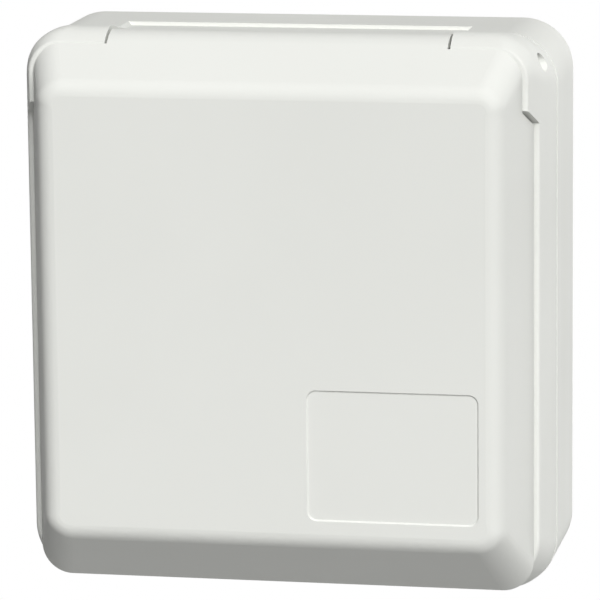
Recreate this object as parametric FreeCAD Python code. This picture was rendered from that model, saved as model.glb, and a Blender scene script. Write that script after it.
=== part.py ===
import FreeCAD, Part
import math
import os
from FreeCAD import Vector

# Everything is in millimetres. X runs to the right, Z up, and the wall is the plane Y = 0.
# Depth is the distance in front of the wall, so a point at depth d has Y = -d.

# Clearances between pieces that seat on each other
SEAT_GAP = 0.02
SOFT_GAP = 0.05
LOOSE_GAP = 0.2

# Driving dimensions of the wall box
BOX_WIDTH = 140.0
BOX_HEIGHT = 147.3
BOX_DEPTH = 31.5
CORNER_RADIUS = 13.2
BOX_WALL = 2.6
BACK_WALL = 3.0
BACK_ROUNDING = 0.8
RIM_LAND = 1.5
REBATE_DEPTH = 1.0
REST_LENGTH = 11.0
REST_DEPTH = 0.95
REST_BEVEL = 0.9
STIFFENER_X = 24.0
STIFFENER_THICKNESS = 1.8
STIFFENER_HEIGHT = 3.5
STIFFENER_SET_BACK = 3.0

# Driving dimensions of the front frame
RIM_GAP = 0.25
RIM_STEP = 0.24
FRAME_RISE = 14.85
PANEL_THICKNESS = 2.8
SHOULDER_RISE = 6.4
SHOULDER_HEIGHT = 21.05
FACET_HEIGHT = 4.0
FRAME_WALL = 2.5
SIDE_SWEEP = 2.4
BOTTOM_SWEEP = 3.6
BROW_RISE = 1.95
BROW_SET_BACK = 2.1
BROW_RADIUS = 9.5
CORNER_TIGHTENING = 0.7
SLOPE_ANGLE = 36.1
EDGE_ROUNDING = 0.8
RING_WIDTH = 2.7
RING_HEIGHT = 2.0
RING_GAP = 0.5

# Driving dimensions of the lid
LID_RISE = 18.65
LID_GAP = 0.35
FACET_GAP = 0.5
LID_WALL = 2.4
LID_FACE_WALL = 2.6
LID_SIDE_INSET = 4.1
LID_DROP = 2.75
LID_SIDE_DRAFT = 18.0
LID_BOTTOM_ANGLE = 40.0
LID_TOP_CORNER = 7.0
LID_BOTTOM_CORNER = 8.2
LID_EDGE_RADIUS = 5.4
SEAL_STANDOFF = 1.5
SEAL_OVERLAP = 0.7
SEAL_GROOVE = 0.8
LABEL_WIDTH = 44.8
LABEL_HEIGHT = 34.6
LABEL_X = 31.85
LABEL_Z = -32.25
LABEL_CORNER = 2.6
LABEL_BEVEL = 0.4
LABEL_RECESS = 0.4

# Driving dimensions of the hinge
HINGE_SET_BACK = 4.9
HINGE_DROP = 6.05
TROUGH_RADIUS = 8.9
TROUGH_WALL = 1.9
TONGUE_HALF = 44.5
TONGUE_SLIT = 0.65
TONGUE_DROP = 0.7
PIN_CHAMFER = 0.4
PIN_SHORT = 0.4
ROLL_RADIUS = 10.0
ROLL_AHEAD = 0.9
STRAP_END_ANGLE = 118.0
KNUCKLE_RADIUS = 3.8
CHEEK_RADIUS = 4.3
OUTER_KNUCKLE = 5.9
INNER_KNUCKLE = 4.0
PIN_RADIUS = 2.0
PIN_CLEARANCE = 0.05
PIN_RECESS = 6.5
SIDE_BORE_RADIUS = 2.35
SPRING_WIRE_RADIUS = 0.5
SPRING_TURNS = 5.5
SPRING_COIL_GAP = 0.08
SPRING_CLEARANCE = 0.65
SPRING_PLAY = 0.63
SPRING_LEG = 5.5

# Driving dimensions of the round power socket
SOCKET_HEIGHT = -3.0
COLLAR_RADIUS = 33.0
COLLAR_WALL = 3.0
SHROUD_GAP = 5.0
CUP_FLOOR = 2.5
KEYWAY_WIDTH = 7.0
KEYWAY_DEPTH = 1.4
KEYWAY_LENGTH = 31.0
FLANGE_REACH = 4.0
FLANGE_CORNER = 6.0
FLANGE_THICKNESS = 3.0
GASKET_THICKNESS = 2.65
GASKET_WIDTH = 3.7
GASKET_CLEARANCE = 0.8
INSERT_SET_BACK = 1.5
INSERT_ROUNDING = 1.0
INSERT_CAP = 2.0
SLEEVE_SET_BACK = 0.3
SLEEVE_ROOM = 1.05
PIN_LEAD_WIDTH = 0.85
PIN_LEAD_DEPTH = 0.8
CONTACT_INSET = 8.0
PIN_BORE = 2.6
EARTH_BORE = 3.2
SLEEVE_WALL = 0.95
SLIT_LENGTH = 17.2
SLIT_WIDTH = 0.7
GROOVE_SET_BACK = 4.7
GROOVE_WIDTH = 2.5
GROOVE_DEPTH = 0.3
CARRIER_RADIUS = 27.5
CARRIER_LENGTH = 11.8
CARRIER_BACK_GAP = 4.5
CHAMBER_WALL = 2.0
CLAMP_SIZE = 8.4
CLAMP_SET_IN = 0.7
WIRE_HOLE_RADIUS = 2.2

# Driving dimensions of screws and entries
WALL_HOLE_SPACING_X = 100.0
WALL_HOLE_SPACING_Z = 112.0
WALL_HOLE_RADIUS = 2.5
WALL_BOSS_RADIUS = 6.5
WALL_BOSS_HEIGHT = 2.0
WALL_HEAD_RADIUS = 4.6
FRAME_SCREW_INSET = 12.5
FRAME_SCREW_RISE = 12.6
FRAME_SCREW_BELOW_FACET = 7.0
FRAME_SCREW_RADIUS = 1.9
FRAME_SCREW_HEAD = 3.6
FRAME_SCREW_LENGTH = 34.6
POST_RADIUS = 4.2
POST_CLEARANCE = 0.4
POST_WEB_THICKNESS = 2.0
POST_WEB_SET_BACK = 4.0
SOCKET_SCREW_INSET = 5.5
SOCKET_SCREW_RADIUS = 1.3
SOCKET_SCREW_HEAD = 2.9
SOCKET_SCREW_COVER = 1.6
DRIVER_SLOT_WIDTH = 0.8
SOCKET_BOSS_RADIUS = 3.6
CARRIER_SCREW_RADIUS = 1.85
CARRIER_SCREW_HEAD = 3.6
TERMINAL_SCREW_RADIUS = 1.5
TERMINAL_SCREW_HEAD = 2.6
TERMINAL_HEAD_HEIGHT = 1.8
TERMINAL_HEAD_STANDOFF = 0.8
HEAD_HEIGHT = 2.2
SCREW_TIP = 1.2
ENTRY_RADIUS = 10.2
ENTRY_DEPTH = 17.0
SECOND_ENTRY_INSET = 32.0
CABLE_RADIUS = 5.5
ENTRY_LIP = 2.0
LIP_THICKNESS = 1.65
BEAD_THICKNESS = 1.4
GROMMET_BEAD = 1.2
GROMMET_HEIGHT = 1.0
PLUG_BEAD = 0.6
NOZZLE_LENGTH = 5.0
NOZZLE_WALL = 1.2
PLUG_WALL = 2.2
PLUG_HEIGHT = 4.0
PLUG_CAP = 1.0
COIN_SLOT_LENGTH = 14.0
COIN_SLOT_WIDTH = 1.6
COIN_SLOT_DEPTH = 0.6

# Depths that follow from them
FRAME_BACK = BOX_DEPTH + RIM_GAP
PANEL_DEPTH = FRAME_BACK + FRAME_RISE
PANEL_BACK = PANEL_DEPTH - PANEL_THICKNESS
SHOULDER_DEPTH = PANEL_DEPTH + SHOULDER_RISE
BROW_DEPTH = PANEL_DEPTH - BROW_SET_BACK
HINGE_DEPTH = PANEL_DEPTH - HINGE_SET_BACK
LID_BACK = PANEL_DEPTH + LID_GAP
LID_DEPTH = PANEL_DEPTH + LID_RISE
LID_INSIDE = LID_DEPTH - LID_FACE_WALL
COLLAR_DEPTH = LID_INSIDE - SEAL_STANDOFF - 3 * SOFT_GAP
CARRIER_BACK = BACK_WALL + CARRIER_BACK_GAP
CARRIER_FRONT = CARRIER_BACK + CARRIER_LENGTH
CUP_BACK = CARRIER_FRONT + LOOSE_GAP
CUP_BOTTOM = CUP_BACK + CUP_FLOOR
INSERT_FRONT = COLLAR_DEPTH - INSERT_SET_BACK
SLEEVE_FRONT = INSERT_FRONT - INSERT_CAP - SLEEVE_SET_BACK
CHAMBER_FRONT = CARRIER_FRONT - CHAMBER_WALL
TERMINAL_DEPTH = (CARRIER_BACK + CHAMBER_FRONT) / 2
FLANGE_FRONT = PANEL_BACK - GASKET_THICKNESS - 2 * SOFT_GAP
FLANGE_BACK = FLANGE_FRONT - FLANGE_THICKNESS

# Heights that follow from them
BOX_TOP = BOX_HEIGHT / 2
SLOPE = math.tan(math.radians(SLOPE_ANGLE))
SLOPE_SIN = math.sin(math.radians(SLOPE_ANGLE))
SLOPE_COS = math.cos(math.radians(SLOPE_ANGLE))
BROW_TOP = BOX_TOP + BROW_RISE
SLOPE_START = BROW_DEPTH + BROW_RADIUS * SLOPE_SIN
SLOPE_TOP = BROW_TOP - BROW_RADIUS * (1 - SLOPE_COS)
HINGE_HEIGHT = BOX_TOP - HINGE_DROP
REST_FLOOR = BOX_TOP - REST_DEPTH
FACET_LOW = BOX_TOP - SHOULDER_HEIGHT
FACET_HIGH = FACET_LOW + FACET_HEIGHT
FRAME_SCREW_LOW = -BOX_TOP + FRAME_SCREW_RISE
FRAME_SCREW_HIGH = FACET_LOW - FRAME_SCREW_BELOW_FACET

# Widths and radii that follow from them
CHEEK_INSIDE = TONGUE_HALF + TONGUE_SLIT
COIL_RADIUS = PIN_RADIUS + SPRING_CLEARANCE + SPRING_WIRE_RADIUS
COIL_PITCH = 2 * SPRING_WIRE_RADIUS + SPRING_COIL_GAP
COIL_LENGTH = COIL_PITCH * SPRING_TURNS
SPRING_START = TONGUE_HALF - OUTER_KNUCKLE - SPRING_PLAY - SPRING_WIRE_RADIUS - COIL_LENGTH
KNUCKLE_EDGE = SPRING_START - SPRING_WIRE_RADIUS - SPRING_PLAY
FRAME_SCREW_X = BOX_WIDTH / 2 - FRAME_SCREW_INSET
SECOND_ENTRY_X = BOX_WIDTH / 2 - SECOND_ENTRY_INSET
COLLAR_BORE = COLLAR_RADIUS - COLLAR_WALL
INSERT_RADIUS = COLLAR_BORE - SHROUD_GAP
CONTACT_CIRCLE = INSERT_RADIUS - CONTACT_INSET
SEAL_OUTER = COLLAR_RADIUS + SEAL_OVERLAP
SEAL_INNER = COLLAR_BORE - SEAL_OVERLAP
FLANGE_HALF = COLLAR_RADIUS + FLANGE_REACH
SOCKET_SCREW_PLACE = FLANGE_HALF - SOCKET_SCREW_INSET
FLOOR_HOLE = CONTACT_CIRCLE + EARTH_BORE + SLEEVE_WALL + SLEEVE_ROOM

# A length beyond every piece, for tools that cut right through
FAR = BOX_WIDTH + BOX_HEIGHT


def at(x, depth, z):
    return Vector(x, -depth, z)


def block(x_low, x_high, depth_low, depth_high, z_low, z_high):
    corner = at(x_low, depth_high, z_low)
    return Part.makeBox(x_high - x_low, depth_high - depth_low, z_high - z_low, corner)


def round_y(x, z, radius, depth_low, depth_high):
    return Part.makeCylinder(radius, depth_high - depth_low, at(x, depth_low, z), Vector(0, -1, 0))


def tube_y(x, z, outer, inner, depth_low, depth_high):
    hole = round_y(x, z, inner, depth_low - 1, depth_high + 1)
    return round_y(x, z, outer, depth_low, depth_high).cut(hole)


def cone_y(x, z, radius_low, radius_high, depth_low, depth_high):
    length = depth_high - depth_low
    return Part.makeCone(radius_low, radius_high, length, at(x, depth_low, z), Vector(0, -1, 0))


def round_x(depth, z, radius, x_low, x_high):
    return Part.makeCylinder(radius, x_high - x_low, at(x_low, depth, z), Vector(1, 0, 0))


def round_z(x, depth, radius, z_low, z_high):
    return Part.makeCylinder(radius, z_high - z_low, at(x, depth, z_low), Vector(0, 0, 1))


def profile_prism(x_low, x_high, start, steps):
    """Extrudes a closed side profile along X. A step is a (depth, z) point that a line
    runs to, or a pair of points, the middle and the end of an arc."""
    edges = []
    here = at(x_low, *start)
    for step in steps + [start]:
        if isinstance(step[0], tuple):
            middle = at(x_low, *step[0])
            there = at(x_low, *step[1])
            edges.append(Part.Arc(here, middle, there).toShape())
        else:
            there = at(x_low, *step)
            edges.append(Part.makeLine(here, there))
        here = there
    face = Part.Face(Part.Wire(edges))
    return face.extrude(Vector(x_high - x_low, 0, 0))


def rounded_wire(half_width, z_low, z_high, radius_top, radius_bottom, depth):
    """A closed outline with rounded corners, drawn at one depth."""
    diagonal = math.sqrt(0.5)
    corners = [
        (half_width, z_high, 1, 1, radius_top),
        (-half_width, z_high, -1, 1, radius_top),
        (-half_width, z_low, -1, -1, radius_bottom),
        (half_width, z_low, 1, -1, radius_bottom),
    ]
    arcs = []
    for x, z, side, end, radius in corners:
        centre_x = x - side * radius
        centre_z = z - end * radius
        on_side = at(x, depth, centre_z)
        on_end = at(centre_x, depth, z)
        middle = at(centre_x + side * radius * diagonal, depth, centre_z + end * radius * diagonal)
        if side == end:
            arcs.append((on_side, middle, on_end))
        else:
            arcs.append((on_end, middle, on_side))
    edges = []
    for index, (first, middle, last) in enumerate(arcs):
        edges.append(Part.Arc(first, middle, last).toShape())
        edges.append(Part.makeLine(last, arcs[(index + 1) % 4][0]))
    return Part.Wire(edges)


def rounded_block(inset, depth_low, depth_high):
    """A block with the box's outline, drawn in by an inset."""
    top = BOX_TOP - inset
    radius = CORNER_RADIUS - inset
    wire = rounded_wire(BOX_WIDTH / 2 - inset, -top, top, radius, radius, depth_low)
    return Part.Face(wire).extrude(Vector(0, depth_low - depth_high, 0))


def mirrored(shape):
    return shape.mirror(Vector(0, 0, 0), Vector(1, 0, 0))


def both_sides(shape):
    return [shape, mirrored(shape)]


def spread(x_near, x_far, side):
    """The lower and higher of two x values on one side of the middle."""
    return sorted((side * x_near, side * x_far))


def join(first, others):
    result = first
    for other in others:
        result = result.fuse(other)
    return result.removeSplitter()


def take_away(first, others):
    result = first
    for other in others:
        result = result.cut(other)
    return result


def round_rim(shape, depth, radius):
    """Rounds the circular edges that lie at one depth."""
    rim = [edge for edge in shape.Edges
           if len(edge.Vertexes) == 1 and abs(edge.Vertexes[0].Point.y + depth) < 0.01]
    return shape.makeFillet(radius, rim)


def save(name, solids):
    shape = solids[0] if len(solids) == 1 else Part.makeCompound(solids)
    shape.exportStep("parts/" + name + ".step")


def wall_screw_places():
    return [(x, z) for x in (-WALL_HOLE_SPACING_X / 2, WALL_HOLE_SPACING_X / 2)
            for z in (-WALL_HOLE_SPACING_Z / 2, WALL_HOLE_SPACING_Z / 2)]


def frame_screw_places():
    return [(x, z) for x in (-FRAME_SCREW_X, FRAME_SCREW_X)
            for z in (FRAME_SCREW_LOW, FRAME_SCREW_HIGH)]


def socket_screw_places():
    return [(x, SOCKET_HEIGHT + z) for x in (-SOCKET_SCREW_PLACE, SOCKET_SCREW_PLACE)
            for z in (-SOCKET_SCREW_PLACE, SOCKET_SCREW_PLACE)]


def contact_places():
    """Earth at six o'clock, the others evenly round the circle: x, z, bore radius, angle."""
    places = {}
    names = ("earth", "line_one", "line_two", "line_three", "neutral")
    for index, name in enumerate(names):
        angle = -90 + 360 * index / len(names)
        turn = math.radians(angle)
        bore = EARTH_BORE if name == "earth" else PIN_BORE
        places[name] = (CONTACT_CIRCLE * math.cos(turn),
                        SOCKET_HEIGHT + CONTACT_CIRCLE * math.sin(turn), bore, angle)
    return places


def turned_about(shape, x, z, angle):
    """Turns a shape about a line along Y, from pointing right to pointing at an angle."""
    shape.rotate(at(x, 0, z), Vector(0, 1, 0), -angle)
    return shape


def top_height(depth):
    """Height of the frame's top: it swells up to the brow, rolls over and runs down a slope."""
    if depth <= BROW_DEPTH:
        share = (depth - FRAME_BACK) / (BROW_DEPTH - FRAME_BACK)
        start = BOX_TOP - RIM_STEP / 2
        return start + (BROW_TOP - start) * share * share * (3 - 2 * share)
    if depth <= SLOPE_START:
        run = depth - BROW_DEPTH
        return BROW_TOP - BROW_RADIUS + math.sqrt(BROW_RADIUS ** 2 - run ** 2)
    return slope_height(depth)


def slope_height(depth, offset=0.0):
    """Height of the front slope that frame and lid share, or of a plane under it."""
    return SLOPE_TOP - SLOPE * (depth - SLOPE_START) - offset / SLOPE_COS


def swept_inset(depth, sweep):
    """How far a frame wall has curved inwards: square law to the panel, then straight on."""
    share = (depth - FRAME_BACK) / FRAME_RISE
    if share <= 1:
        return RIM_STEP + sweep * share * share
    return RIM_STEP + sweep * (2 * share - 1)


def frame_loft(offset, back):
    """The frame's outer form, or the same form drawn in by its wall."""
    depths = [back]
    depths += [FRAME_BACK + (BROW_DEPTH - FRAME_BACK) * share for share in (1 / 3, 2 / 3, 1)]
    depths += [(BROW_DEPTH + SLOPE_START) / 2, SLOPE_START, SHOULDER_DEPTH]
    wires = []
    for depth in depths:
        half_width = BOX_WIDTH / 2 - swept_inset(depth, SIDE_SWEEP) - offset
        z_low = -BOX_TOP + swept_inset(depth, BOTTOM_SWEEP) + offset
        z_high = top_height(depth) - offset
        bottom_radius = CORNER_RADIUS - RIM_STEP - offset
        top_radius = bottom_radius - CORNER_TIGHTENING * max(0.0, depth - BROW_DEPTH)
        wires.append(rounded_wire(half_width, z_low, z_high, top_radius, bottom_radius, depth))
    return Part.makeLoft(wires, True, False)


def lid_section(depth, offset):
    run = depth - LID_BACK
    side = math.tan(math.radians(LID_SIDE_DRAFT))
    rise = math.tan(math.radians(LID_BOTTOM_ANGLE))
    half_width = BOX_WIDTH / 2 - LID_SIDE_INSET - run * side - offset
    z_low = -BOX_TOP + LID_DROP + run * rise + offset / math.cos(math.radians(LID_BOTTOM_ANGLE))
    share = run / (LID_DEPTH - LID_BACK)
    top_radius = LID_TOP_CORNER - 0.5 * share - 0.7 * offset
    bottom_radius = LID_BOTTOM_CORNER - 1.2 * share - 0.7 * offset
    return rounded_wire(half_width, z_low, slope_height(depth, offset), top_radius, bottom_radius, depth)


def lid_loft(offset, depth_low, depth_high):
    """A four-sided pyramid stump with soft corners and a rolled front edge."""
    ends = [lid_section(depth_low, offset), lid_section(depth_high, offset)]
    body = Part.makeLoft(ends, True, True)
    front = [edge for edge in body.Edges
             if all(abs(point.Point.y + depth_high) < 0.01 for point in edge.Vertexes)]
    rolled = min(LID_EDGE_RADIUS, LID_TOP_CORNER - 1.0) - offset
    return body.makeFillet(rolled, front)


def hinge_point(radius, angle):
    turn = math.radians(angle)
    return (HINGE_DEPTH + radius * math.cos(turn), HINGE_HEIGHT + radius * math.sin(turn))


def lid_side_profile(gap, drop, depth_end):
    """The line between frame and lid, seen from the side, closed at a depth: the panel's
    face, the slanted end of each shoulder, its flat front and its roll about the hinge."""
    front = SHOULDER_DEPTH + gap
    steps = [(PANEL_DEPTH + gap, FACET_LOW - drop), (front, FACET_HIGH - drop), (front, HINGE_HEIGHT)]
    steps.append((hinge_point(front - HINGE_DEPTH, 18), hinge_point(front - HINGE_DEPTH, 36)))
    steps.append((steps[-1][1][0], FAR))
    return profile_prism(-FAR, FAR, (PANEL_DEPTH + gap, -FAR), steps + [(depth_end, FAR), (depth_end, -FAR)])


def hinge_trough(offset, depth_high, z_high):
    """The trough that the lid's strap swings in, grown by an offset for its wall."""
    radius = TROUGH_RADIUS + offset
    back = HINGE_DEPTH - radius
    return profile_prism(-CHEEK_INSIDE - offset, CHEEK_INSIDE + offset, (back, z_high),
                         [(back, HINGE_HEIGHT),
                          (hinge_point(radius, 225), hinge_point(radius, 270)),
                          (depth_high, HINGE_HEIGHT - radius), (depth_high, z_high)])


def make_wall_box():
    outer = rounded_block(0, 0, BOX_DEPTH)
    back = [face for face in outer.Faces if abs(face.CenterOfMass.y) < 0.001]
    outer = outer.makeFillet(BACK_ROUNDING, back[0].Edges)
    room = rounded_block(BOX_WALL, BACK_WALL, BOX_DEPTH + 1)
    rebate = rounded_block(RIM_LAND, BOX_DEPTH - REBATE_DEPTH, BOX_DEPTH + 1)
    box = outer.cut(room).cut(rebate)

    floor = BACK_WALL - 1
    reach = BOX_WIDTH / 2 - BOX_WALL / 2
    web = POST_WEB_THICKNESS / 2
    added = []
    cuts = []
    for x, z in frame_screw_places():
        low, high = spread(FRAME_SCREW_X, reach, math.copysign(1, x))
        added.append(round_y(x, z, POST_RADIUS, floor, BOX_DEPTH - POST_CLEARANCE))
        added.append(block(low, high, floor, BOX_DEPTH - POST_WEB_SET_BACK, z - web, z + web))
        cuts.append(round_y(x, z, FRAME_SCREW_RADIUS + SOFT_GAP, BACK_WALL + 2, BOX_DEPTH + 1))
    for x, z in wall_screw_places():
        top = BACK_WALL + WALL_BOSS_HEIGHT
        added.append(round_y(x, z, WALL_BOSS_RADIUS, floor, top))
        cuts.append(round_y(x, z, WALL_HOLE_RADIUS, -1, top + 1))
        cuts.append(round_y(x, z, WALL_HEAD_RADIUS, BACK_WALL, top + 1))
    inside = BOX_TOP - BOX_WALL
    for end in (-1, 1):
        low, high = sorted((end * (inside + 0.5), end * (inside + 0.5 - STIFFENER_HEIGHT)))
        for x in (-STIFFENER_X, STIFFENER_X):
            half = STIFFENER_THICKNESS / 2
            added.append(block(x - half, x + half, floor, BOX_DEPTH - STIFFENER_SET_BACK, low, high))

    for x in (0.0, SECOND_ENTRY_X):
        cuts.append(round_z(x, ENTRY_DEPTH, ENTRY_RADIUS, -BOX_TOP - 1, -BOX_TOP + BOX_WALL + 1))
    return [take_away(join(box, added), cuts + [lid_rest()])]


def lid_rest():
    """The shallow rest for the open lid in the box's top, with bevelled ends."""
    depth = BOX_DEPTH - REST_LENGTH
    rise = 1.0
    spread_out = REST_BEVEL * (REST_DEPTH + rise) / REST_DEPTH
    corners = [at(-CHEEK_INSIDE, depth, REST_FLOOR), at(CHEEK_INSIDE, depth, REST_FLOOR),
               at(CHEEK_INSIDE + spread_out, depth, BOX_TOP + rise),
               at(-CHEEK_INSIDE - spread_out, depth, BOX_TOP + rise)]
    face = Part.Face(Part.makePolygon(corners + corners[:1]))
    return face.extrude(Vector(0, -REST_LENGTH - 1, 0))


def make_box_gasket():
    outer = rounded_block(RIM_LAND + SOFT_GAP, BOX_DEPTH - REBATE_DEPTH + SEAT_GAP, FRAME_BACK - SEAT_GAP)
    inner = rounded_block(BOX_WALL - SOFT_GAP, BOX_DEPTH - REBATE_DEPTH - 1, FRAME_BACK + 1)
    return [outer.cut(inner)]


def frame_shell():
    """The hollow moulding before its bosses: outside, less the lid's space and the inside."""
    body = frame_loft(0, FRAME_BACK).cut(lid_side_profile(0, 0, SHOULDER_DEPTH + FAR))
    rounded = []
    for edge in body.Edges:
        middle = edge.valueAt((edge.FirstParameter + edge.LastParameter) / 2)
        depth = -middle.y
        crossing = abs(middle.x) < 1 and middle.z > 0
        on_top = middle.z > HINGE_HEIGHT and depth > PANEL_DEPTH
        on_facet = FACET_LOW < middle.z < FACET_HIGH and depth > PANEL_DEPTH + 0.01
        if depth > PANEL_DEPTH - 0.01 and not crossing and not on_top and not on_facet:
            rounded.append(edge)
    body = body.makeFillet(EDGE_ROUNDING, rounded)

    slant = FACET_HEIGHT / SHOULDER_RISE
    lift = FRAME_WALL * math.sqrt(1 + slant * slant)
    front = SHOULDER_DEPTH - FRAME_WALL
    limit = profile_prism(-FAR, FAR, (0, -FAR),
                          [(PANEL_BACK, -FAR), (PANEL_BACK, FACET_LOW - slant * PANEL_THICKNESS + lift),
                           (front, FACET_HIGH - slant * FRAME_WALL + lift), (front, FAR), (0, FAR)])
    return body.cut(frame_loft(FRAME_WALL, FRAME_BACK - 0.01).common(limit))


def make_front_frame():
    outer = frame_loft(0, FRAME_BACK)
    lid_space = lid_side_profile(0, 0, SHOULDER_DEPTH + FAR)
    trough_top = BOX_TOP - BOX_WALL - 0.5
    trough = hinge_trough(TROUGH_WALL, SHOULDER_DEPTH, trough_top).cut(lid_space)
    above = block(-FAR, FAR, FRAME_BACK, SHOULDER_DEPTH, HINGE_HEIGHT - FRAME_WALL - TROUGH_RADIUS, FAR)
    rim = hinge_trough(FRAME_WALL, SHOULDER_DEPTH, FAR).common(above).common(outer).cut(lid_space)
    added = [trough, rim]
    cuts = [hinge_trough(0, SHOULDER_DEPTH + FAR, FAR),
            block(-CHEEK_INSIDE, CHEEK_INSIDE, 0, HINGE_DEPTH, REST_FLOOR, FAR)]

    pin_end = BOX_WIDTH / 2 - PIN_RECESS
    for side in (-1, 1):
        low, high = spread(CHEEK_INSIDE, BOX_WIDTH / 2, side)
        added.append(round_x(HINGE_DEPTH, HINGE_HEIGHT, CHEEK_RADIUS, low, high).common(outer))
        low, high = spread(CHEEK_INSIDE - 1, pin_end - 2, side)
        cuts.append(round_x(HINGE_DEPTH, HINGE_HEIGHT, PIN_RADIUS + PIN_CLEARANCE, low, high))
        low, high = spread(pin_end - 3, BOX_WIDTH / 2 + 1, side)
        cuts.append(round_x(HINGE_DEPTH, HINGE_HEIGHT, SIDE_BORE_RADIUS, low, high))
    for x, z in frame_screw_places():
        added.append(round_y(x, z, POST_RADIUS, FRAME_BACK, PANEL_BACK + 0.5))
        cuts.append(round_y(x, z, FRAME_SCREW_RADIUS + LOOSE_GAP, FRAME_BACK - 1, PANEL_DEPTH + 1))
    for x, z in socket_screw_places():
        added.append(round_y(x, z, SOCKET_BOSS_RADIUS, FLANGE_FRONT + SOFT_GAP, PANEL_BACK + 0.5))
        cuts.append(round_y(x, z, SOCKET_SCREW_RADIUS + SOFT_GAP, FLANGE_FRONT - 1, PANEL_DEPTH - 1))
    hole = COLLAR_RADIUS + RING_GAP
    added.append(round_y(0, SOCKET_HEIGHT, hole + RING_WIDTH, PANEL_BACK, PANEL_DEPTH + RING_HEIGHT))
    cuts.append(round_y(0, SOCKET_HEIGHT, hole, PANEL_BACK - 1, PANEL_DEPTH + RING_HEIGHT + 1))
    return [take_away(join(frame_shell(), added), cuts)]


def make_lid():
    outer = lid_loft(0, LID_BACK, LID_DEPTH)
    inner = lid_loft(LID_WALL, LID_BACK - 0.5, LID_INSIDE)
    behind = lid_side_profile(LID_GAP, FACET_GAP, 0)
    lid = join(outer.cut(inner).cut(behind), [make_strap()])

    groove = tube_y(0, SOCKET_HEIGHT, SEAL_OUTER + SOFT_GAP, SEAL_INNER - SOFT_GAP,
                    LID_INSIDE - 1, LID_INSIDE + SEAL_GROOVE)
    cuts = [label_recess(), groove]
    low = KNUCKLE_EDGE - INNER_KNUCKLE - 1
    bore = round_x(HINGE_DEPTH, HINGE_HEIGHT, PIN_RADIUS + PIN_CLEARANCE, low, TONGUE_HALF + 1)
    return [take_away(lid, cuts + both_sides(bore))]


def make_strap():
    """The wide strap that carries on the lid's top slope, rolls over the hinge and holds
    two knuckles beside each end."""
    start = SHOULDER_DEPTH + 5
    centre_depth = BROW_DEPTH + ROLL_AHEAD
    centre_height = BROW_TOP - TONGUE_DROP - ROLL_RADIUS

    def on_roll(radius, angle):
        turn = math.radians(angle)
        return (centre_depth + radius * math.cos(turn), centre_height + radius * math.sin(turn))

    tangent = 90 - SLOPE_ANGLE
    thin = ROLL_RADIUS - LID_WALL
    strap = profile_prism(-TONGUE_HALF, TONGUE_HALF, (start, slope_height(start, SEAT_GAP)),
                          [on_roll(ROLL_RADIUS, tangent),
                           (on_roll(ROLL_RADIUS, 90), on_roll(ROLL_RADIUS, STRAP_END_ANGLE)),
                           on_roll(thin, STRAP_END_ANGLE),
                           (on_roll(thin, 90), on_roll(thin, tangent)),
                           (start, slope_height(start, LID_WALL - SEAT_GAP))])
    disc = round_x(centre_depth, centre_height, ROLL_RADIUS - 0.3, -TONGUE_HALF, TONGUE_HALF)
    knuckles = []
    spans = ((TONGUE_HALF - OUTER_KNUCKLE, TONGUE_HALF), (KNUCKLE_EDGE - INNER_KNUCKLE, KNUCKLE_EDGE))
    for low, high in spans:
        barrel = round_x(HINGE_DEPTH, HINGE_HEIGHT, KNUCKLE_RADIUS, low, high)
        back = HINGE_DEPTH - KNUCKLE_RADIUS * 0.6
        front = HINGE_DEPTH + KNUCKLE_RADIUS * 0.95
        steps = [(back + 1, HINGE_HEIGHT + 6.5), (front + 1.4, BOX_TOP + 1), (front, HINGE_HEIGHT)]
        web = profile_prism(low, high, (back, HINGE_HEIGHT), steps)
        knuckles += both_sides(barrel) + both_sides(web.common(disc))
    return join(strap, knuckles)


def label_recess():
    """The shallow panel at the lower right of the lid's face, with a bevelled rim."""
    wires = []
    for depth, inset in ((LID_DEPTH + 0.1, -0.1), (LID_DEPTH - LABEL_RECESS, LABEL_BEVEL)):
        half = LABEL_WIDTH / 2 - inset
        tall = LABEL_HEIGHT / 2 - inset
        radius = LABEL_CORNER - inset
        wire = rounded_wire(half, LABEL_Z - tall, LABEL_Z + tall, radius, radius, depth)
        wire.translate(Vector(LABEL_X, 0, 0))
        wires.append(wire)
    return Part.makeLoft(wires, True, True)


def make_lid_seal():
    """A flat ring in the groove of the lid's face, pressed on the collar's rim when shut."""
    return [tube_y(0, SOCKET_HEIGHT, SEAL_OUTER, SEAL_INNER, COLLAR_DEPTH + 2 * SOFT_GAP,
                   LID_INSIDE + SEAL_GROOVE - SOFT_GAP)]


def make_hinge_pins():
    inner_end = KNUCKLE_EDGE - INNER_KNUCKLE + PIN_SHORT
    pin = round_x(HINGE_DEPTH, HINGE_HEIGHT, PIN_RADIUS, inner_end, BOX_WIDTH / 2 - PIN_RECESS)
    ends = [edge for edge in pin.Edges if len(edge.Vertexes) == 1]
    return both_sides(pin.makeChamfer(PIN_CHAMFER, ends))


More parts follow.
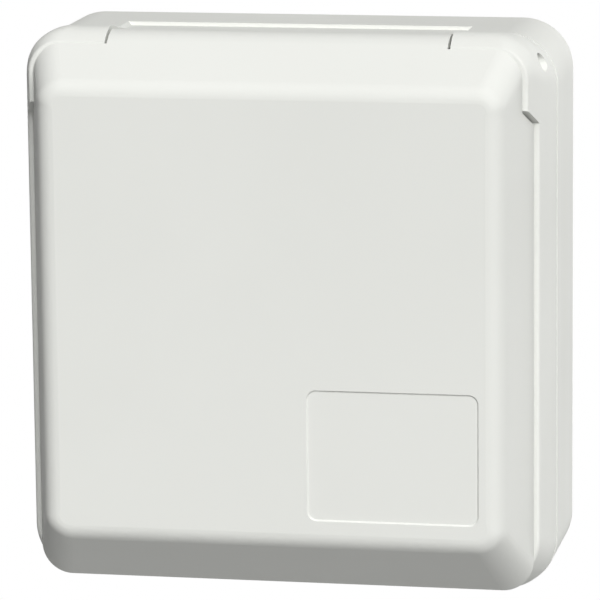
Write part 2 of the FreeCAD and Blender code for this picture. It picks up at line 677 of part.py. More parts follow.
def make_spring():
    """A torsion spring wound round the hinge pin, one leg under the lid's strap and the
    other against the bottom of the trough."""
    helix = Part.makeHelix(COIL_PITCH, COIL_LENGTH, COIL_RADIUS)
    helix.rotate(Vector(0, 0, 0), Vector(0, 1, 0), 90)
    helix.translate(at(SPRING_START, HINGE_DEPTH, HINGE_HEIGHT))
    spine = Part.Wire(helix.Edges)
    first = spine.Edges[0].Vertexes[0].Point
    last = spine.Edges[-1].Vertexes[-1].Point
    tangent = spine.Edges[0].tangentAt(spine.Edges[0].FirstParameter)
    profile = Part.Wire([Part.Circle(first, tangent, SPRING_WIRE_RADIUS).toShape()])
    coil = spine.makePipeShell([profile], True, True)
    legs = []
    for point, edge, backwards in ((first, spine.Edges[0], True), (last, spine.Edges[-1], False)):
        parameter = edge.FirstParameter if backwards else edge.LastParameter
        direction = edge.tangentAt(parameter)
        direction = Vector(0, direction.y, direction.z).normalize()
        if backwards:
            direction = direction * -1
        legs.append(Part.makeCylinder(SPRING_WIRE_RADIUS, SPRING_LEG, point, direction))
        legs.append(Part.makeSphere(SPRING_WIRE_RADIUS, point))
    return join(coil, legs)


def screw_y(x, z, head_radius, head_depth, radius, tip_depth):
    """A pan-head screw that points at the wall, with a cross recess in its head."""
    top = head_depth + HEAD_HEIGHT
    head = round_rim(round_y(x, z, head_radius, head_depth, top), top, HEAD_HEIGHT * 0.45)
    shank = round_y(x, z, radius, tip_depth + SCREW_TIP, head_depth)
    tip = cone_y(x, z, radius * 0.4, radius, tip_depth, tip_depth + SCREW_TIP)
    long_side = head_radius * 0.55
    short_side = head_radius * 0.13
    floor = top - HEAD_HEIGHT / 2
    cross = [block(x - long_side, x + long_side, floor, top + 1, z - short_side, z + short_side),
             block(x - short_side, x + short_side, floor, top + 1, z - long_side, z + long_side)]
    return take_away(join(head, [shank, tip]), cross)


def make_frame_screws():
    seat = PANEL_DEPTH + SEAT_GAP
    return [screw_y(x, z, FRAME_SCREW_HEAD, seat, FRAME_SCREW_RADIUS, seat - FRAME_SCREW_LENGTH)
            for x, z in frame_screw_places()]


def make_socket_body():
    """The collar with its keyway, its floor and the square flange behind the panel."""
    wire = rounded_wire(FLANGE_HALF, SOCKET_HEIGHT - FLANGE_HALF, SOCKET_HEIGHT + FLANGE_HALF,
                        FLANGE_CORNER, FLANGE_CORNER, FLANGE_BACK)
    flange = Part.Face(wire).extrude(Vector(0, -FLANGE_THICKNESS, 0))
    cup = round_y(0, SOCKET_HEIGHT, COLLAR_RADIUS, CUP_BACK, COLLAR_DEPTH)
    body = join(round_rim(cup, COLLAR_DEPTH, COLLAR_WALL * 0.3), [flange])
    keyway = block(-KEYWAY_WIDTH / 2, KEYWAY_WIDTH / 2, COLLAR_DEPTH - KEYWAY_LENGTH, COLLAR_DEPTH + 1,
                   SOCKET_HEIGHT - COLLAR_BORE - KEYWAY_DEPTH, SOCKET_HEIGHT - COLLAR_BORE + 2)
    cuts = [round_y(0, SOCKET_HEIGHT, COLLAR_BORE, CUP_BOTTOM, COLLAR_DEPTH + 1), keyway,
            round_y(0, SOCKET_HEIGHT, FLOOR_HOLE, CUP_BACK - 1, CUP_BOTTOM + 1)]
    for x, z in socket_screw_places():
        cuts.append(round_y(x, z, SOCKET_SCREW_RADIUS + 3 * LOOSE_GAP, FLANGE_BACK - 1, FLANGE_FRONT + 1))
    return [take_away(body, cuts)]


def make_socket_screws():
    """Short screws that hold the flange to the back of the panel, heads towards the wall."""
    screws = []
    seat = FLANGE_BACK - SEAT_GAP
    half = DRIVER_SLOT_WIDTH / 2
    for x, z in socket_screw_places():
        head = round_y(x, z, SOCKET_SCREW_HEAD, seat - HEAD_HEIGHT, seat)
        shank = round_y(x, z, SOCKET_SCREW_RADIUS, seat, PANEL_DEPTH - SOCKET_SCREW_COVER)
        slot = block(x - SOCKET_SCREW_HEAD - 1, x + SOCKET_SCREW_HEAD + 1, seat - HEAD_HEIGHT - 1,
                     seat - HEAD_HEIGHT / 2, z - half, z + half)
        screws.append(join(head, [shank]).cut(slot))
    return screws


def make_socket_gasket():
    inner = COLLAR_RADIUS + GASKET_CLEARANCE
    return [tube_y(0, SOCKET_HEIGHT, inner + GASKET_WIDTH, inner, FLANGE_FRONT + SOFT_GAP,
                   PANEL_BACK - SOFT_GAP)]


def make_contact_insert():
    """The disc that guides the plug's pins, seated on the cup's floor round its hole."""
    back = CUP_BOTTOM + 2 * SOFT_GAP
    insert = round_y(0, SOCKET_HEIGHT, INSERT_RADIUS, back, INSERT_FRONT)
    insert = round_rim(insert, INSERT_FRONT, INSERT_ROUNDING)
    cap_back = INSERT_FRONT - INSERT_CAP
    cuts = [round_y(0, SOCKET_HEIGHT, CARRIER_SCREW_RADIUS + 3 * SOFT_GAP, back - 1, INSERT_FRONT + 1),
            round_y(0, SOCKET_HEIGHT, CARRIER_SCREW_HEAD + 3 * LOOSE_GAP,
                    INSERT_FRONT - HEAD_HEIGHT - 1, INSERT_FRONT + 1)]
    for x, z, bore, angle in contact_places().values():
        mouth = bore + LOOSE_GAP + SOFT_GAP
        cuts.append(round_y(x, z, bore + SLEEVE_WALL + SOFT_GAP, back - 1, cap_back))
        cuts.append(round_y(x, z, mouth, cap_back - 0.5, INSERT_FRONT + 1))
        cuts.append(cone_y(x, z, mouth, mouth + PIN_LEAD_WIDTH, INSERT_FRONT - PIN_LEAD_DEPTH,
                           INSERT_FRONT + SOFT_GAP))
    return [take_away(insert, cuts)]


def make_contact(name):
    """A turned brass sleeve with crossed slits, soldered into a clamp block for the wire."""
    x, z, bore, angle = contact_places()[name]
    outer = bore + SLEEVE_WALL
    half = CLAMP_SIZE / 2
    clamp_back = CARRIER_BACK + CLAMP_SET_IN
    clamp_front = CHAMBER_FRONT - 2 * SOFT_GAP
    sleeve = round_y(x, z, outer, clamp_front - 1, SLEEVE_FRONT)
    clamp = block(x - half, x + half, clamp_back, clamp_front, z - half, z + half)
    contact = join(sleeve, [turned_about(clamp, x, z, angle)])
    groove_front = SLEEVE_FRONT - GROOVE_SET_BACK
    cuts = [round_y(x, z, bore, CUP_BOTTOM + 2, SLEEVE_FRONT + 1),
            tube_y(x, z, outer + 1, outer - GROOVE_DEPTH, groove_front - GROOVE_WIDTH, groove_front),
            round_y(x, z, WIRE_HOLE_RADIUS, clamp_back - 1, clamp_front - 2)]
    for turn in (0, 90):
        slit = block(x - CLAMP_SIZE, x + CLAMP_SIZE, SLEEVE_FRONT - SLIT_LENGTH, SLEEVE_FRONT + 1,
                     z - SLIT_WIDTH / 2, z + SLIT_WIDTH / 2)
        cuts.append(turned_about(slit, x, z, angle + turn))
    away = Vector(math.cos(math.radians(angle)), 0, math.sin(math.radians(angle)))
    cuts.append(Part.makeCylinder(TERMINAL_SCREW_RADIUS + SOFT_GAP, CLAMP_SIZE,
                                  at(x, TERMINAL_DEPTH, z), away))
    return [take_away(contact, cuts)]


def make_contact_rings():
    """Split rings of spring steel in the sleeves' grooves."""
    rings = []
    front = SLEEVE_FRONT - GROOVE_SET_BACK
    for x, z, bore, angle in contact_places().values():
        outer = bore + SLEEVE_WALL
        ring = tube_y(x, z, outer, outer - GROOVE_DEPTH + SEAT_GAP, front - GROOVE_WIDTH + 0.1, front - 0.1)
        rings.append(ring.cut(block(x - 0.4, x + 0.4, front - GROOVE_WIDTH, front, z, z + bore + 2)))
    return rings


def make_terminal_screws():
    screws = []
    half = DRIVER_SLOT_WIDTH / 2
    for x, z, bore, angle in contact_places().values():
        away = Vector(math.cos(math.radians(angle)), 0, math.sin(math.radians(angle)))
        centre = at(x, TERMINAL_DEPTH, z)
        tip = WIRE_HOLE_RADIUS + 2 * SOFT_GAP
        seat = CLAMP_SIZE / 2 + TERMINAL_HEAD_STANDOFF
        shank = Part.makeCylinder(TERMINAL_SCREW_RADIUS, seat - tip + 0.5, centre + away * tip, away)
        head = Part.makeCylinder(TERMINAL_SCREW_HEAD, TERMINAL_HEAD_HEIGHT, centre + away * seat, away)
        slot = block(x + seat + 1, x + seat + 3, TERMINAL_DEPTH - CLAMP_SIZE / 2,
                     TERMINAL_DEPTH + CLAMP_SIZE / 2, z - half, z + half)
        screws.append(join(shank, [head]).cut(turned_about(slot, x, z, angle)))
    return screws


def make_terminal_carrier():
    """The rear disc: each clamp block sits in its own chamber, open to the rim and the back."""
    carrier = round_y(0, SOCKET_HEIGHT, CARRIER_RADIUS, CARRIER_BACK, CARRIER_FRONT)
    screw_hole = CARRIER_SCREW_RADIUS + 2 * SOFT_GAP
    cuts = [round_y(0, SOCKET_HEIGHT, screw_hole, CARRIER_BACK - 1, CARRIER_FRONT + 1)]
    half = (CLAMP_SIZE + 2 * LOOSE_GAP) / 2
    for x, z, bore, angle in contact_places().values():
        chamber = block(x - half, x + CARRIER_RADIUS, CARRIER_BACK - 1, CHAMBER_FRONT, z - half, z + half)
        cuts.append(turned_about(chamber, x, z, angle))
        cuts.append(round_y(x, z, bore + SLEEVE_WALL + SOFT_GAP, CHAMBER_FRONT - 1, CARRIER_FRONT + 1))
    return [take_away(carrier, cuts)]


def make_carrier_screw():
    seat = INSERT_FRONT - HEAD_HEIGHT - 1 + SOFT_GAP
    return [screw_y(0, SOCKET_HEIGHT, CARRIER_SCREW_HEAD, seat, CARRIER_SCREW_RADIUS, CARRIER_BACK + 1.5)]


def entry_bung(x, bead_reach, height):
    """What fills an entry hole from both sides: a lip outside, the wall in a groove, a bead inside."""
    low = -BOX_TOP
    inside = low + BOX_WALL
    body = round_z(x, ENTRY_DEPTH, ENTRY_RADIUS - 2 * SOFT_GAP, low - 1.0, inside + height)
    outside = round_z(x, ENTRY_DEPTH, ENTRY_RADIUS + ENTRY_LIP, low - SOFT_GAP - LIP_THICKNESS,
                      low - SOFT_GAP)
    bead = round_z(x, ENTRY_DEPTH, ENTRY_RADIUS + bead_reach, inside + SOFT_GAP,
                   inside + SOFT_GAP + BEAD_THICKNESS)
    return join(body, [outside, bead])


def make_grommet():
    """A soft bung in the entry hole, its wall let into a groove, bored for the cable."""
    top = -BOX_TOP + BOX_WALL + GROMMET_HEIGHT
    nozzle = Part.makeCone(ENTRY_RADIUS - 1.5, CABLE_RADIUS + NOZZLE_WALL, NOZZLE_LENGTH,
                           at(0, ENTRY_DEPTH, top), Vector(0, 0, 1))
    solid = join(entry_bung(0, GROMMET_BEAD, GROMMET_HEIGHT), [nozzle])
    bottom = -BOX_TOP - LIP_THICKNESS - 1
    return [solid.cut(round_z(0, ENTRY_DEPTH, CABLE_RADIUS, bottom, top + NOZZLE_LENGTH + 1))]


def make_blanking_plug():
    """A stopper in the spare entry hole, hollow inside, with a coin slot outside."""
    low = -BOX_TOP
    x = SECOND_ENTRY_X
    top = low + BOX_WALL + PLUG_HEIGHT
    hollow = round_z(x, ENTRY_DEPTH, ENTRY_RADIUS - PLUG_WALL, low + PLUG_CAP, top + 1)
    half = COIN_SLOT_LENGTH / 2
    wide = COIN_SLOT_WIDTH / 2
    face = low - SOFT_GAP - LIP_THICKNESS
    slot = block(x - half, x + half, ENTRY_DEPTH - wide, ENTRY_DEPTH + wide, face - 1, face + COIN_SLOT_DEPTH)
    return [take_away(entry_bung(x, PLUG_BEAD, PLUG_HEIGHT), [hollow, slot])]


def build():
    os.makedirs("parts", exist_ok=True)
    save("wall_box", make_wall_box())
    save("box_gasket", make_box_gasket())
    save("front_frame", make_front_frame())
    save("frame_screws", make_frame_screws())
    save("lid", make_lid())
    save("lid_seal", make_lid_seal())
    save("hinge_pins", make_hinge_pins())
    right_spring, left_spring = both_sides(make_spring())
    save("spring_right", [right_spring])
    save("spring_left", [left_spring])
    save("socket_body", make_socket_body())
    save("socket_gasket", make_socket_gasket())
    save("socket_screws", make_socket_screws())
    save("contact_insert", make_contact_insert())
    for name in contact_places():
        save("contact_" + name, make_contact(name))
    save("contact_rings", make_contact_rings())
    save("terminal_carrier", make_terminal_carrier())
    save("terminal_screws", make_terminal_screws())
    save("carrier_screw", make_carrier_screw())
    save("cable_grommet", make_grommet())
    save("blanking_plug", make_blanking_plug())


build()
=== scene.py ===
import math

import bmesh
import bpy
from mathutils import Matrix, Vector


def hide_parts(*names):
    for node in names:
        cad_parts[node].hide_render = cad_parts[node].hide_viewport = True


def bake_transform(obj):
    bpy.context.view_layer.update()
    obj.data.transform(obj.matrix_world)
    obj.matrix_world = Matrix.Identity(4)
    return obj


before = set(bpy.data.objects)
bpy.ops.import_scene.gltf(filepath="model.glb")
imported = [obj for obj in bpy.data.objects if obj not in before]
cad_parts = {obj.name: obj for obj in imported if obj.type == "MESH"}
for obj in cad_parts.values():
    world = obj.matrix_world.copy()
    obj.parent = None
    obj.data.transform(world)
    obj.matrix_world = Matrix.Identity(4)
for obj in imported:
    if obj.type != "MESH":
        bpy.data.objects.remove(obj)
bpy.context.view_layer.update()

# Wall box: the back moulding, injection moulded in light grey thermoplastic with a fine satin
# surface. Its open front takes the frame, and a shallow rest in its top takes the raised lid.
FLOW_RANGE = (0.35, 0.65)
GRAIN_SHARE = 0.5
GRAIN_STRENGTH = 0.5


def empty_surface(name, inputs):
    """A node group for a skin, with its own inputs and the three outputs that every skin has."""
    group = bpy.data.node_groups.new(name, "ShaderNodeTree")
    for label, kind, value in inputs:
        socket = group.interface.new_socket(name=label, in_out="INPUT", socket_type=kind)
        socket.default_value = value
    for label, kind in (("Colour", "NodeSocketColor"),
                        ("Roughness", "NodeSocketFloat"),
                        ("Height", "NodeSocketFloat")):
        group.interface.new_socket(name=label, in_out="OUTPUT", socket_type=kind)
    return group


def noise(group, place, detail):
    """A noise in the given coordinates."""
    texture = group.nodes.new("ShaderNodeTexNoise")
    texture.inputs["Detail"].default_value = detail
    group.links.new(place, texture.inputs["Vector"])
    return texture


def patches(group, texture, noise_range):
    """A mask of soft patches, where the given range of a noise runs from nought to one."""
    spread = group.nodes.new("ShaderNodeMapRange")
    spread.inputs["From Min"].default_value, spread.inputs["From Max"].default_value = noise_range
    group.links.new(texture.outputs["Fac"], spread.inputs["Value"])
    return spread.outputs["Result"]


def put_out(group, given, made, colour_mask, second_colour, gloss_mask, height):
    """Joins a skin's masks to its three outputs."""
    tint = group.nodes.new("ShaderNodeMix")
    tint.data_type = "RGBA"
    group.links.new(colour_mask, tint.inputs["Factor"])
    group.links.new(given.outputs["Colour"], tint.inputs["A"])
    group.links.new(given.outputs[second_colour], tint.inputs["B"])
    group.links.new(tint.outputs["Result"], made.inputs["Colour"])
    gloss = group.nodes.new("ShaderNodeMapRange")
    group.links.new(gloss_mask, gloss.inputs["Value"])
    group.links.new(given.outputs["Smoothest"], gloss.inputs["To Min"])
    group.links.new(given.outputs["Roughest"], gloss.inputs["To Max"])
    group.links.new(gloss.outputs["Result"], made.inputs["Roughness"])
    group.links.new(height, made.inputs["Height"])


def build_mould_surface():
    """The skin of an injection moulding: slow flow marks, a fine spark-eroded grain and small
    differences in gloss, from coordinates that stay with the piece."""
    group = empty_surface("mould_surface", (("Colour", "NodeSocketColor", (0.8, 0.8, 0.8, 1)),
                                            ("Flow Colour", "NodeSocketColor", (0.75, 0.75, 0.75, 1)),
                                            ("Flow Scale", "NodeSocketFloat", 18.0),
                                            ("Grain Scale", "NodeSocketFloat", 3200.0),
                                            ("Smoothest", "NodeSocketFloat", 0.36),
                                            ("Roughest", "NodeSocketFloat", 0.46)))
    nodes, links = group.nodes, group.links
    given = nodes.new("NodeGroupInput")
    made = nodes.new("NodeGroupOutput")
    place = nodes.new("ShaderNodeTexCoord").outputs["Object"]
    flow = noise(group, place, 3.0)
    flow.inputs["Distortion"].default_value = 0.6
    links.new(given.outputs["Flow Scale"], flow.inputs["Scale"])
    flow_marks = patches(group, flow, FLOW_RANGE)
    grain = noise(group, place, 4.0)
    grain.inputs["Roughness"].default_value = 0.6
    links.new(given.outputs["Grain Scale"], grain.inputs["Scale"])

    flow_part = nodes.new("ShaderNodeMath")
    flow_part.operation = "MULTIPLY"
    flow_part.inputs[1].default_value = 1 - GRAIN_SHARE
    links.new(flow_marks, flow_part.inputs[0])
    both = nodes.new("ShaderNodeMath")
    both.operation = "MULTIPLY_ADD"
    both.inputs[1].default_value = GRAIN_SHARE
    links.new(grain.outputs["Fac"], both.inputs[0])
    links.new(flow_part.outputs["Value"], both.inputs[2])
    put_out(group, given, made, flow_marks, "Flow Colour", both.outputs["Value"], grain.outputs["Fac"])
    return group


def skin_material(name, surface, values, bump_strength, bump_distance):
    """A material whose colour, gloss and fine relief come from a skin with its own values."""
    material = bpy.data.materials.new(name)
    material.use_nodes = True
    nodes, links = material.node_tree.nodes, material.node_tree.links
    shader = nodes["Principled BSDF"]
    skin = nodes.new("ShaderNodeGroup")
    skin.node_tree = surface
    for label, value in values.items():
        skin.inputs[label].default_value = value
    bump = nodes.new("ShaderNodeBump")
    bump.inputs["Strength"].default_value = bump_strength
    bump.inputs["Distance"].default_value = bump_distance
    links.new(skin.outputs["Height"], bump.inputs["Height"])
    links.new(bump.outputs["Normal"], shader.inputs["Normal"])
    links.new(skin.outputs["Colour"], shader.inputs["Base Color"])
    links.new(skin.outputs["Roughness"], shader.inputs["Roughness"])
    return material


def moulded(name, colour, flow_colour, smoothest, roughest, grain_height, specular):
    """A material for one moulding shop's plastic or rubber."""
    values = {"Colour": (*colour, 1), "Flow Colour": (*flow_colour, 1),
              "Smoothest": smoothest, "Roughest": roughest}
    material = skin_material(name, mould_surface, values, GRAIN_STRENGTH, grain_height)
    shader = material.node_tree.nodes["Principled BSDF"]
    shader.inputs["Specular IOR Level"].default_value = specular
    return material


def dress(node, material):
    """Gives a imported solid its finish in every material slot."""
    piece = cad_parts[node]
    if not piece.material_slots:
        piece.data.materials.append(material)
    for slot in piece.material_slots:
        slot.material = material


mould_surface = build_mould_surface()
light_grey = moulded("light_grey_plastic", colour=(0.792, 0.800, 0.764),
                     flow_colour=(0.780, 0.788, 0.752), smoothest=0.68, roughest=0.80,
                     grain_height=0.00001, specular=0.06)
dress("wall_box", light_grey)

# Front frame: one moulding in the same plastic, pushed into the box's open rim and screwed to
# its posts. Its sides sweep inwards, and its shoulders carry the hinge on each side of the lid.
dress("front_frame", light_grey)

# Lid: the sprung cover, a moulding of the same plastic with a sloped top, a strap that rolls
# over the hinge and a shallow bare field for a label at the lower right.
dress("lid", light_grey)

# Blanking plug: a stopper in the same plastic, turned home with a coin in the second cable
# entry under the box.
dress("blanking_plug", light_grey)

# Soft rings: the gaskets between box and frame and behind the socket, and the lid's seal, all
# moulded in black weatherproof rubber with a dull skin.
black_rubber = moulded("black_rubber", colour=(0.030, 0.030, 0.031),
                       flow_colour=(0.042, 0.041, 0.041), smoothest=0.62, roughest=0.80,
                       grain_height=0.00003, specular=0.30)
for node in ("box_gasket", "socket_gasket", "lid_seal"):
    dress(node, black_rubber)

# Cable entry: a stepped soft grommet in grey rubber, pushed into the entry hole under the box
# and trimmed to the cable by the fitter.
grey_rubber = moulded("grey_rubber", colour=(0.42, 0.42, 0.41), flow_colour=(0.37, 0.37, 0.365),
                      smoothest=0.58, roughest=0.74, grain_height=0.00003, specular=0.35)
dress("cable_grommet", grey_rubber)

# Socket body: the round collar with its flange and cup, moulded in red plastic, which is the
# colour for this voltage. Four screws pull its flange against the back of the frame.
red_plastic = moulded("red_plastic", colour=(0.56, 0.022, 0.020), flow_colour=(0.50, 0.018, 0.017),
                      smoothest=0.30, roughest=0.40, grain_height=0.00001, specular=0.5)
dress("socket_body", red_plastic)

# Contact insert and terminal carrier: the two discs that hold the contacts, moulded in black
# heat-proof plastic and drawn together by one long screw.
black_plastic = moulded("black_plastic", colour=(0.028, 0.028, 0.030),
                        flow_colour=(0.034, 0.034, 0.036), smoothest=0.34, roughest=0.46,
                        grain_height=0.00001, specular=0.5)
dress("contact_insert", black_plastic)
dress("terminal_carrier", black_plastic)

# Screws: zinc plated steel with cross recesses, four in the frame, four in the socket's flange,
# five on the wire clamps and the long one through the insert.
DULLING_SCALE = 260.0
DULLING_RANGE = (0.35, 0.7)
MARK_STRENGTH = 0.4


def build_metal_surface():
    """The skin of plated or drawn metal: fine marks that can be drawn out in one direction, and
    soft patches where it has dulled."""
    group = empty_surface("metal_surface", (("Colour", "NodeSocketColor", (0.6, 0.6, 0.6, 1)),
                                            ("Dull Colour", "NodeSocketColor", (0.5, 0.5, 0.5, 1)),
                                            ("Stretch", "NodeSocketVector", (1.0, 1.0, 1.0)),
                                            ("Mark Scale", "NodeSocketFloat", 2500.0),
                                            ("Smoothest", "NodeSocketFloat", 0.2),
                                            ("Roughest", "NodeSocketFloat", 0.4)))
    nodes, links = group.nodes, group.links
    given = nodes.new("NodeGroupInput")
    made = nodes.new("NodeGroupOutput")
    place = nodes.new("ShaderNodeTexCoord").outputs["Object"]
    pulled = nodes.new("ShaderNodeVectorMath")
    pulled.operation = "MULTIPLY"
    links.new(place, pulled.inputs[0])
    links.new(given.outputs["Stretch"], pulled.inputs[1])
    marks = noise(group, pulled.outputs["Vector"], 3.0)
    links.new(given.outputs["Mark Scale"], marks.inputs["Scale"])
    dulling = noise(group, place, 5.0)
    dulling.inputs["Scale"].default_value = DULLING_SCALE
    dull_patches = patches(group, dulling, DULLING_RANGE)
    put_out(group, given, made, dull_patches, "Dull Colour", dull_patches, marks.outputs["Fac"])
    return group


def metal(name, colour, dull_colour, stretch, smoothest, roughest, mark_depth):
    """A material for one metal finish."""
    values = {"Colour": (*colour, 1), "Dull Colour": (*dull_colour, 1), "Stretch": stretch,
              "Smoothest": smoothest, "Roughest": roughest}
    material = skin_material(name, metal_surface, values, MARK_STRENGTH, mark_depth)
    material.node_tree.nodes["Principled BSDF"].inputs["Metallic"].default_value = 1.0
    return material


metal_surface = build_metal_surface()
zinc = metal("zinc_plated_steel", colour=(0.70, 0.71, 0.72), dull_colour=(0.56, 0.57, 0.58),
             stretch=(1, 1, 1), smoothest=0.24, roughest=0.42, mark_depth=0.00001)
for node in ("frame_screws", "socket_screws", "terminal_screws", "carrier_screw"):
    dress(node, zinc)

# Hinge pins: two short bright steel pins, pressed in from the sides of the frame through the
# lid's knuckles, so that their ends show in the side bores.
pin_steel = metal("drawn_pin_steel", colour=(0.60, 0.60, 0.61), dull_colour=(0.50, 0.50, 0.51),
                  stretch=(0.05, 1, 1), smoothest=0.22, roughest=0.36, mark_depth=0.00001)
dress("hinge_pins", pin_steel)

# Lid springs: two torsion springs wound from one millimetre stainless wire round the pins. One
# leg of each stands on the frame and the other goes with the lid, so the coils wind up.
WIRE_RADIUS = 0.0005
WIRE_SIDES = 14
CUT_END_SHARE = 0.8
COIL_RADIUS = 0.00315
COIL_PITCH = 0.00108
COIL_TURNS = 5.5
COIL_NEAR = 0.03163
STEPS_PER_TURN = 36
LEG_LENGTH = 0.0055
LEG_STEPS = 6
AXIS_DEPTH = 0.0417
AXIS_HEIGHT = 0.0676


def spring_route():
    """Points along the wire of the right-hand spring: leg, coils, leg."""
    points = [Vector((COIL_NEAR, -AXIS_DEPTH - LEG_LENGTH * k / LEG_STEPS, AXIS_HEIGHT - COIL_RADIUS))
              for k in range(LEG_STEPS, 0, -1)]
    steps = int(COIL_TURNS * STEPS_PER_TURN)
    for k in range(steps + 1):
        turn = 2 * math.pi * COIL_TURNS * k / steps
        points.append(Vector((COIL_NEAR + COIL_PITCH * COIL_TURNS * k / steps,
                              -AXIS_DEPTH + COIL_RADIUS * math.sin(turn),
                              AXIS_HEIGHT - COIL_RADIUS * math.cos(turn))))
    last = points[-1]
    points += [last + Vector((0, -LEG_LENGTH * k / LEG_STEPS, 0)) for k in range(1, LEG_STEPS + 1)]
    return points


def wire_mesh(name, points):
    """A round wire along a route, a little thinner at its two cut ends."""
    mesh = bpy.data.meshes.new(name)
    shape = bmesh.new()
    across = Vector((1, 0, 0))
    angles = [2 * math.pi * k / WIRE_SIDES for k in range(WIRE_SIDES)]
    rings = []
    for i, point in enumerate(points):
        along = (points[min(i + 1, len(points) - 1)] - points[max(i - 1, 0)]).normalized()
        side = (across - along * across.dot(along)).normalized()
        other = along.cross(side)
        thick = WIRE_RADIUS * (CUT_END_SHARE if i in (0, len(points) - 1) else 1.0)
        rings.append([shape.verts.new(point + side * thick * math.cos(angle)
                                      + other * thick * math.sin(angle))
                      for angle in angles])
    for low, high in zip(rings, rings[1:]):
        for k in range(WIRE_SIDES):
            after = (k + 1) % WIRE_SIDES
            shape.faces.new((low[k], low[after], high[after], high[k]))
    shape.faces.new(list(reversed(rings[0])))
    shape.faces.new(rings[-1])
    bmesh.ops.recalc_face_normals(shape, faces=shape.faces)
    shape.to_mesh(mesh)
    shape.free()
    for polygon in mesh.polygons:
        polygon.use_smooth = len(polygon.vertices) == 4
    return mesh


wire_steel = metal("spring_wire", colour=(0.62, 0.62, 0.61), dull_colour=(0.48, 0.48, 0.48),
                   stretch=(0.3, 1, 1), smoothest=0.20, roughest=0.34, mark_depth=0.000008)
for side, node in ((1, "spring_right"), (-1, "spring_left")):
    route = [Vector((p.x * side, p.y, p.z)) for p in spring_route()]
    spring = bpy.data.objects.new(node + "_wire", wire_mesh(node + "_wire", route))
    bpy.context.scene.collection.objects.link(spring)
    spring.data.materials.append(wire_steel)
    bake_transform(spring)
    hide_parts(node)

# Contacts: five turned brass sleeves, slit to grip the plug's pins, each with a spring steel
# ring in its groove and a clamp block for the wire behind.
brass = metal("turned_brass", colour=(0.80, 0.60, 0.26), dull_colour=(0.66, 0.46, 0.19),
              stretch=(1, 0.2, 1), smoothest=0.20, roughest=0.36, mark_depth=0.00001)
for name in ("earth", "line_one", "line_two", "line_three", "neutral"):
    dress("contact_" + name, brass)
dress("contact_rings", wire_steel)

# Studio: a white table far below the piece and soft even light, with two wide lamps from the
# front above and two low ones behind at the sides, as in a catalogue photograph.
TABLE_DROP = 0.9
TABLE_HALF = 2.5
TABLE_COLOUR = (0.50, 0.50, 0.50)
TABLE_LIFT = 0.72
WHITE = (1, 1, 1, 1)
ROOM_LIGHT = 0.01


def seen_directly(tree):
    """One for rays from the camera, in gloss and through glass, and nought for the light that
    falls on things."""
    path = tree.nodes.new("ShaderNodeLightPath")
    first = tree.nodes.new("ShaderNodeMath")
    first.operation = "MAXIMUM"
    either = tree.nodes.new("ShaderNodeMath")
    either.operation = "MAXIMUM"
    tree.links.new(path.outputs["Is Camera Ray"], first.inputs[0])
    tree.links.new(path.outputs["Is Glossy Ray"], first.inputs[1])
    tree.links.new(first.outputs["Value"], either.inputs[0])
    tree.links.new(path.outputs["Is Transmission Ray"], either.inputs[1])
    return either.outputs["Value"]


def white_card(name, colour, lift):
    """A pale matt surface that the camera sees as white, with the shadows that fall on it."""
    material = bpy.data.materials.new(name)
    material.use_nodes = True
    nodes, links = material.node_tree.nodes, material.node_tree.links
    shader = nodes["Principled BSDF"]
    shader.inputs["Base Color"].default_value = (*colour, 1)
    shader.inputs["Roughness"].default_value = 0.9
    shader.inputs["Specular IOR Level"].default_value = 0.1
    glow = nodes.new("ShaderNodeEmission")
    glow.inputs["Strength"].default_value = lift
    lifted = nodes.new("ShaderNodeAddShader")
    links.new(shader.outputs["BSDF"], lifted.inputs[0])
    links.new(glow.outputs["Emission"], lifted.inputs[1])
    choice = nodes.new("ShaderNodeMixShader")
    links.new(seen_directly(material.node_tree), choice.inputs["Fac"])
    links.new(shader.outputs["BSDF"], choice.inputs[1])
    links.new(lifted.outputs["Shader"], choice.inputs[2])
    links.new(choice.outputs["Shader"], nodes["Material Output"].inputs["Surface"])
    return material


table_mesh = bpy.data.meshes.new("table_top")
shape = bmesh.new()
corners = [shape.verts.new((x * TABLE_HALF, y * TABLE_HALF, -TABLE_DROP))
           for x, y in ((-1, -1), (1, -1), (1, 1), (-1, 1))]
shape.faces.new(corners)
shape.to_mesh(table_mesh)
shape.free()
table_top = bpy.data.objects.new("table_top", table_mesh)
table_top.data.materials.append(white_card("table_white", TABLE_COLOUR, TABLE_LIFT))
bpy.context.scene.collection.objects.link(table_top)

world = bpy.data.worlds.new("studio")
bpy.context.scene.world = world
world.use_nodes = True
nodes, links = world.node_tree.nodes, world.node_tree.links
nodes.clear()
room = nodes.new("ShaderNodeBackground")
room.inputs["Color"].default_value = WHITE
room.inputs["Strength"].default_value = ROOM_LIGHT
seen = nodes.new("ShaderNodeBackground")
seen.inputs["Color"].default_value = WHITE
seen.inputs["Strength"].default_value = 1.0
choice = nodes.new("ShaderNodeMixShader")
links.new(seen_directly(world.node_tree), choice.inputs["Fac"])
links.new(room.outputs["Background"], choice.inputs[1])
links.new(seen.outputs["Background"], choice.inputs[2])
out = nodes.new("ShaderNodeOutputWorld")
links.new(choice.outputs["Shader"], out.inputs["Surface"])


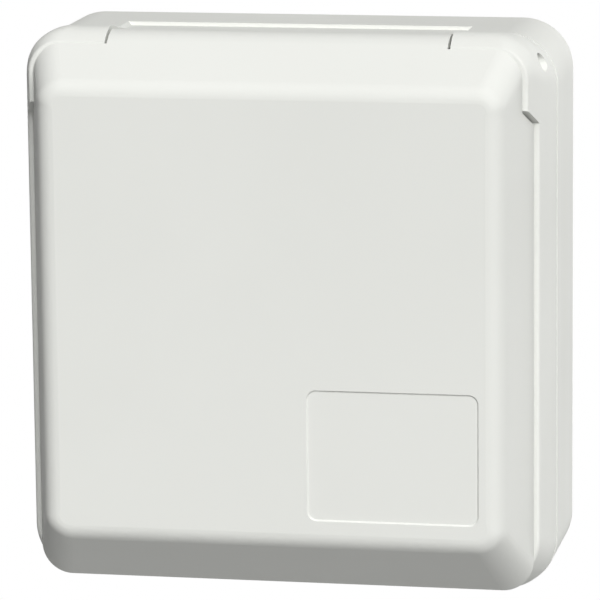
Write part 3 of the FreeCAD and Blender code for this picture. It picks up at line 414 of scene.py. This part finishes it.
def direction(azimuth, elevation):
    """Unit vector from the piece towards a lamp or the camera, with azimuth 0 in front of the
    lid and positive to the right."""
    a = math.radians(azimuth)
    e = math.radians(elevation)
    return Vector((math.sin(a) * math.cos(e), -math.cos(a) * math.cos(e), math.sin(e)))


def lamp(name, azimuth, elevation, strength, width):
    """A wide far lamp, so that a flat face is lit evenly from edge to edge."""
    light = bpy.data.lights.new(name, "SUN")
    light.energy = strength
    light.angle = math.radians(width)
    holder = bpy.data.objects.new(name, light)
    holder.rotation_mode = "QUATERNION"
    holder.rotation_quaternion = direction(azimuth, elevation).to_track_quat("Z", "Y")
    bpy.context.scene.collection.objects.link(holder)


lamp("key_lamp", azimuth=26, elevation=32.5, strength=2.72, width=34)
lamp("high_lamp", azimuth=2, elevation=57, strength=1.00, width=34)
lamp("right_lamp", azimuth=143, elevation=-6, strength=2.14, width=40)
lamp("left_back_lamp", azimuth=-150, elevation=-8, strength=0.55, width=40)

# Camera: in front of the lid, a little to the right and above, far off with a long lens, and
# with the small roll that the photograph has. Its place is in metres and degrees.
AIM = Vector((-0.00457, 0, -0.00452))
AZIMUTH = 11.06
ELEVATION = 11.14
ROLL = -0.58
DISTANCE = 1.1715
SENSOR_WIDTH = 36
FOCAL_LENGTH = 259.03
FAR_LIMIT = 20
back = direction(AZIMUTH, ELEVATION)
right = Vector((math.cos(math.radians(AZIMUTH)), math.sin(math.radians(AZIMUTH)), 0))
up = back.cross(right)
roll = math.radians(ROLL)
right, up = right * math.cos(roll) + up * math.sin(roll), -right * math.sin(roll) + up * math.cos(roll)
camera = bpy.data.cameras.new("front_camera")
camera.sensor_width = SENSOR_WIDTH
camera.lens = FOCAL_LENGTH
camera.clip_end = FAR_LIMIT
viewer = bpy.data.objects.new("front_camera", camera)
viewer.matrix_world = Matrix.Translation(AIM + back * DISTANCE) @ Matrix(
    (right, up, back)).transposed().to_4x4()
bpy.context.scene.collection.objects.link(viewer)
bpy.context.scene.camera = viewer
bpy.context.scene.view_settings.view_transform = "Standard"
